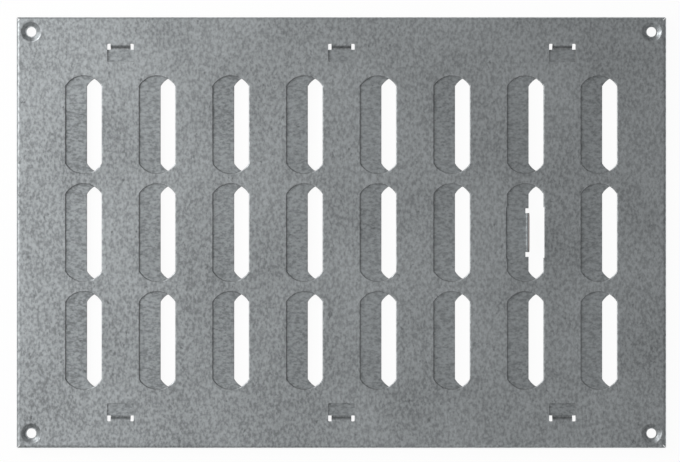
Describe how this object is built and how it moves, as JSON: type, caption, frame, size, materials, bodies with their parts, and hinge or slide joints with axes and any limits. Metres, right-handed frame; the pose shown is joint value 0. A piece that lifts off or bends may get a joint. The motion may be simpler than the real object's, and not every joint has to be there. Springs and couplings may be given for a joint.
{
  "type": "sliding vent panel",
  "caption": "Flat slotted sheet-metal vent panel with a folded rim and dimpled screw holes; a slotted shutter behind it slides sideways by a finger tab to open or close the slots.",
  "frame": {"origin": "middle of the panel, on the plane that the edge of its folded rim rests on", "axes": "+X along the panel and along the shutter's travel towards shut, +Y across it along the slots, +Z out of the front face; the finger tab points to +Z"},
  "size_m": [0.3, 0.199, 0.013],
  "materials": {
    "face_sheet": "galvanised, fine matt grain",
    "shutter_sheet": "galvanised, fine matt grain, rubbed by sliding"
  },
  "bodies": {
    "panel": {"face_plate": "face_sheet"},
    "slider": {"shutter": "shutter_sheet"}
  },
  "joints": [
    {"name": "shutter_slide", "type": "slide", "parent": "panel", "child": "slider", "axis": [1, 0, 0], "range_m": [-0.00915, 0.00725]}
  ]
}
